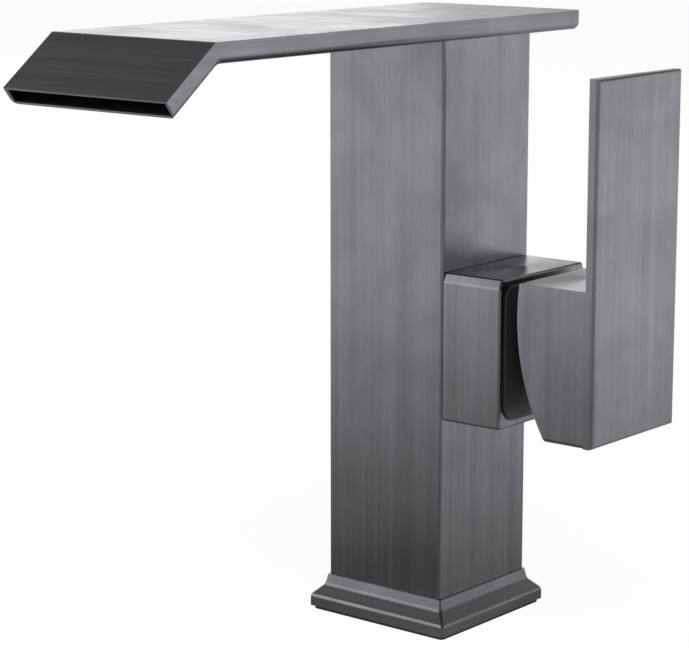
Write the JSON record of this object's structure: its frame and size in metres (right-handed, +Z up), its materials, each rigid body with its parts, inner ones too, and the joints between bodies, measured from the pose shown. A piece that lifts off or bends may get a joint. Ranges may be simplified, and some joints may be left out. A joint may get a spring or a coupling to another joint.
{
  "type": "basin faucet",
  "caption": "Single-lever waterfall basin faucet: square column on a stepped flange, flat slot spout with a turned-down lip and a flat upright side lever, in brushed dark grey metal.",
  "frame": {"origin": "middle of the base gasket's underside, on the basin deck and on the column's axis", "axes": "+Z up along the column; the spout points to -Y; the lever is on the +X side"},
  "size_m": [0.099, 0.1727, 0.175],
  "materials": {
    "brushed_gunmetal": "satin",
    "brass": "satin",
    "copper": "satin",
    "black_rubber": "matte",
    "black_plastic": "satin",
    "pale_plastic": "satin",
    "white_ceramic": "polished",
    "plain_steel": "satin",
    "grey_plug": "satin"
  },
  "bodies": {
    "faucet_body": {"base_flange": "brushed_gunmetal", "column_shell": "brushed_gunmetal", "side_housing": "brushed_gunmetal", "spout_cover": "brushed_gunmetal", "spout_tray": "brushed_gunmetal", "inlet_block": "brass", "valve_body": "brass", "cartridge_nut": "brass", "spout_manifold": "brass", "hot_riser": "copper", "cold_riser": "copper", "mixed_riser": "copper", "base_gasket": "black_rubber", "riser_seals": "black_rubber", "seat_seals": "black_rubber", "base_seal": "black_rubber", "spout_seal": "black_rubber", "cartridge_casing": "black_plastic", "cartridge_base": "black_plastic", "trim_collar": "black_plastic", "fixed_disc": "white_ceramic", "flange_screws": "plain_steel", "spout_screws": "plain_steel"},
    "temperature_rotor": {"stem_rotor": "pale_plastic", "pivot_pin": "plain_steel"},
    "lever": {"lever_stem": "plain_steel", "handle_hub": "brushed_gunmetal", "handle_blade": "brushed_gunmetal", "grub_screw": "plain_steel", "screw_plug": "grey_plug"},
    "mixing_disc": {"moving_disc": "white_ceramic", "disc_carrier": "pale_plastic"}
  },
  "joints": [
    {"name": "temperature_turn", "type": "hinge", "parent": "faucet_body", "child": "temperature_rotor", "pos_m": [0.033, 0, 0.084], "axis": [1, 0, 0], "range_deg": [-45, 45]},
    {"name": "flow_tilt", "type": "hinge", "parent": "temperature_rotor", "child": "lever", "pos_m": [0.033, 0, 0.084], "axis": [0, 1, 0], "range_deg": [0, 25]},
    {"name": "disc_slide", "type": "slide", "parent": "temperature_rotor", "child": "mixing_disc", "axis": [0, 0, 1], "range_m": [0, 0.004]}
  ],
  "couplings": [
    {"joint": "disc_slide", "follows": "flow_tilt", "m_per_rad": 0.009105}
  ]
}
